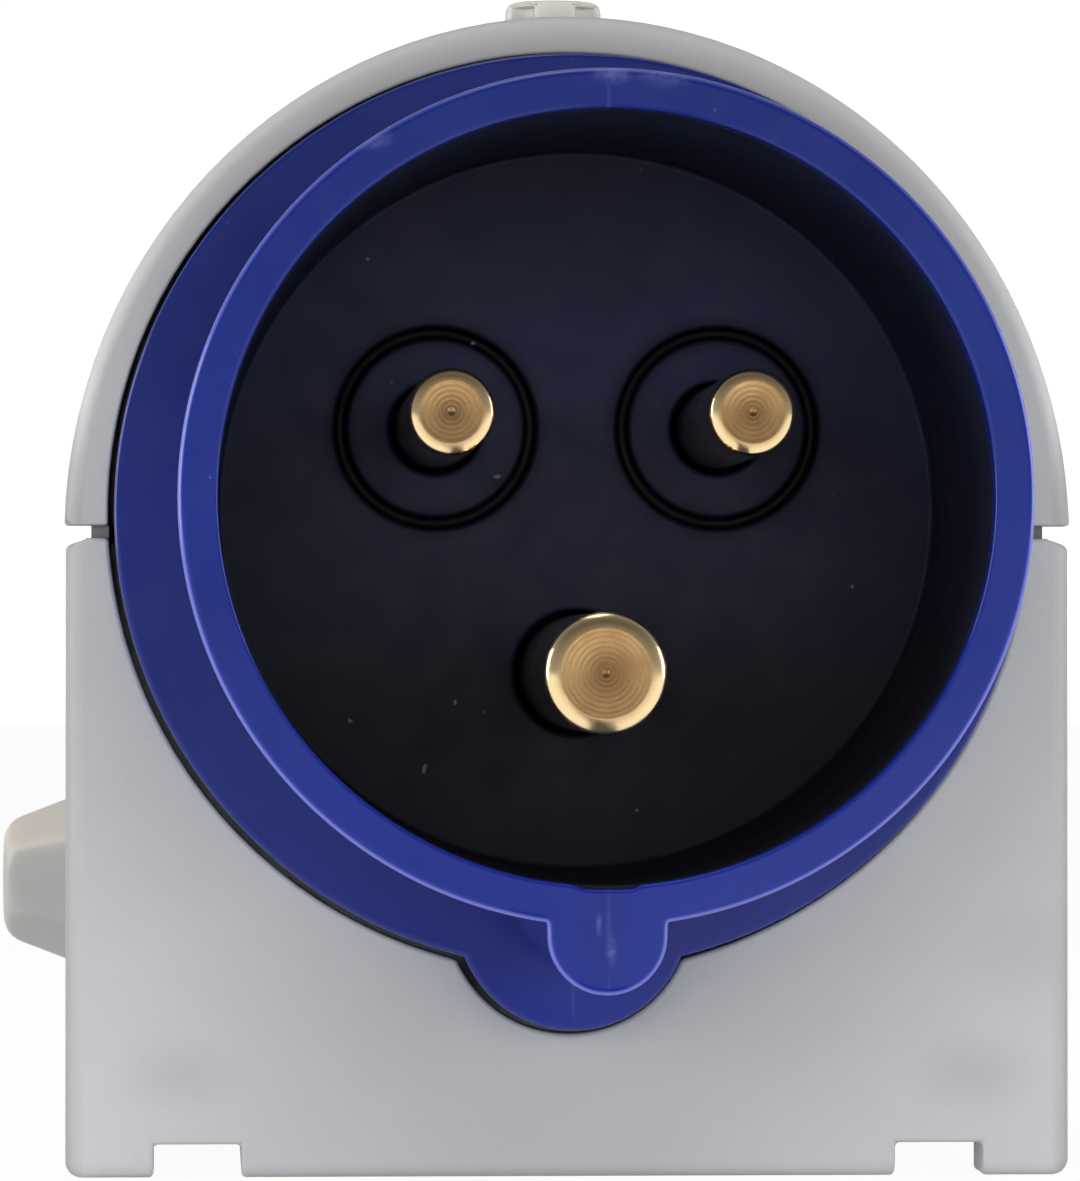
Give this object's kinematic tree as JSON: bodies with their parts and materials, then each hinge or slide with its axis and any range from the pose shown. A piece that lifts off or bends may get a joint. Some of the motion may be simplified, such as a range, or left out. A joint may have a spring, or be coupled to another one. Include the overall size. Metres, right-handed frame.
{
  "type": "surface-mounted appliance inlet",
  "caption": "Grey wall-mounted power inlet with a blue round shroud, brass pins, arched hood and a cable gland.",
  "frame": {"origin": "centre of the housing's wall face, on the wall", "axes": "+Z away from the wall, -Y out of the shroud's mouth, +X to the right seen from the front"},
  "size_m": [0.068, 0.1516, 0.0755],
  "materials": {
    "housing_grey": "fine satin moulded thermoplastic, light grey",
    "shroud_blue": "semi-gloss moulded thermoplastic, deep blue",
    "carrier_black": "satin black thermosetting plastic",
    "brass": "turned brass, bright",
    "steel": "zinc-plated steel",
    "seal_rubber": "dark soft rubber",
    "natural_plastic": "natural nylon, slightly warm",
    "gland_grey": "moulded nylon, light grey"
  },
  "bodies": {
    "root": {"base_box": "housing_grey", "hood": "housing_grey", "inlet_shroud": "shroud_blue", "pin_carrier": "carrier_black", "pin_line": "brass", "pin_neutral": "brass", "pin_earth": "brass", "terminal_screw_line": "steel", "terminal_screw_neutral": "steel", "terminal_screw_earth": "steel", "pin_retainer": "carrier_black", "retainer_screws": "steel", "lock_ring": "carrier_black", "shroud_seal": "seal_rubber", "hood_seal": "seal_rubber", "hood_screw": "natural_plastic", "hood_screw_seal": "seal_rubber", "lug_screws": "steel", "gland_body": "gland_grey", "gland_washer": "seal_rubber", "gland_locknut": "gland_grey", "gland_insert": "seal_rubber", "gland_nut": "gland_grey", "side_plug": "natural_plastic", "side_plug_seal": "seal_rubber"}
  },
  "joints": []
}
